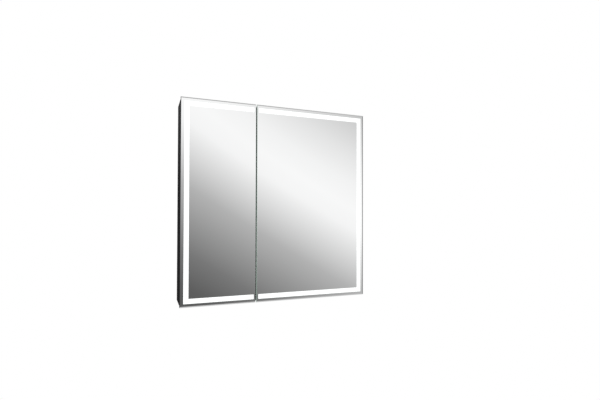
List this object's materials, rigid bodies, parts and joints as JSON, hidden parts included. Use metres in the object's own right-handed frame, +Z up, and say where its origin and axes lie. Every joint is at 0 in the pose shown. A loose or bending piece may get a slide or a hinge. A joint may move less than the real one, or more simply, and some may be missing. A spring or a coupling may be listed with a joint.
{
  "type": "illuminated mirror cabinet",
  "caption": "Wall-hung bathroom mirror cabinet with unequal hinged mirror doors, lit frosted border, glass shelves, and an inner socket and light switch.",
  "frame": {"origin": "centre of the back face, on the wall plane, at mid width and mid height", "axes": "+X to the right as the user faces the mirrors, +Y into the wall, +Z up; the mirrors face -Y"},
  "size_m": [0.7, 0.12, 0.71],
  "materials": {
    "mirror": "silvered, polished",
    "frosted_window": "frosted, lit from behind",
    "door_frame": "satin anodised",
    "carcass": "black anodised",
    "shelf_glass": "clear, polished edges",
    "zinc_steel": "zinc plated",
    "hinge_steel": "black coated",
    "sheet_metal": "powder coated",
    "back_board": "laminated board",
    "white_plastic": "satin",
    "grey_plastic": "matte",
    "magnet_plastic": "matte",
    "cable_sheath": "matte",
    "led_tape": "coated tape"
  },
  "bodies": {
    "carcass": {"left_side_panel": "carcass", "right_side_panel": "carcass", "top_panel": "carcass", "bottom_panel": "carcass", "back_panel": "back_board", "service_cover": "sheet_metal", "led_driver": "white_plastic", "terminal_block": "white_plastic", "cable_gland": "grey_plastic", "mains_lead": "cable_sheath", "driver_lead": "cable_sheath", "socket_lead": "cable_sheath", "left_led_lead": "cable_sheath", "right_led_lead": "cable_sheath", "socket_outlet": "white_plastic", "switch_housing": "white_plastic", "upper_shelf": "shelf_glass", "lower_shelf": "shelf_glass", "upper_left_front_support": "zinc_steel", "upper_left_rear_support": "zinc_steel", "upper_right_front_support": "zinc_steel", "upper_right_rear_support": "zinc_steel", "lower_left_front_support": "zinc_steel", "lower_left_rear_support": "zinc_steel", "lower_right_front_support": "zinc_steel", "lower_right_rear_support": "zinc_steel", "left_wall_plate": "zinc_steel", "left_hanger": "zinc_steel", "left_adjusting_screw": "zinc_steel", "left_upper_body_leaf": "hinge_steel", "left_upper_hinge_pin": "zinc_steel", "left_lower_body_leaf": "hinge_steel", "left_lower_hinge_pin": "zinc_steel", "left_catch_magnet": "magnet_plastic", "right_wall_plate": "zinc_steel", "right_hanger": "zinc_steel", "right_adjusting_screw": "zinc_steel", "right_upper_body_leaf": "hinge_steel", "right_upper_hinge_pin": "zinc_steel", "right_lower_body_leaf": "hinge_steel", "right_lower_hinge_pin": "zinc_steel", "right_catch_magnet": "magnet_plastic"},
    "left_door": {"left_mirror": "mirror", "left_light_window": "frosted_window", "left_door_frame": "door_frame", "left_led_tape": "led_tape", "left_inner_mirror": "mirror", "left_strike_plate": "zinc_steel", "left_upper_door_leaf": "hinge_steel", "left_lower_door_leaf": "hinge_steel"},
    "right_door": {"right_mirror": "mirror", "right_light_window": "frosted_window", "right_door_frame": "door_frame", "right_led_tape": "led_tape", "right_inner_mirror": "mirror", "right_strike_plate": "zinc_steel", "right_upper_door_leaf": "hinge_steel", "right_lower_door_leaf": "hinge_steel"},
    "switch_button": {"switch_button": "white_plastic"}
  },
  "joints": [
    {"name": "left_door_hinge", "type": "hinge", "parent": "carcass", "child": "left_door", "pos_m": [-0.3445, -0.1, 0], "axis": [0, 0, -1], "range_deg": [0, 105]},
    {"name": "right_door_hinge", "type": "hinge", "parent": "carcass", "child": "right_door", "pos_m": [0.3445, -0.1, 0], "axis": [0, 0, 1], "range_deg": [0, 105]},
    {"name": "switch_press", "type": "slide", "parent": "carcass", "child": "switch_button", "axis": [0, 1, 0], "range_m": [0, 0.0015], "stiffness_N_per_m": 600}
  ]
}
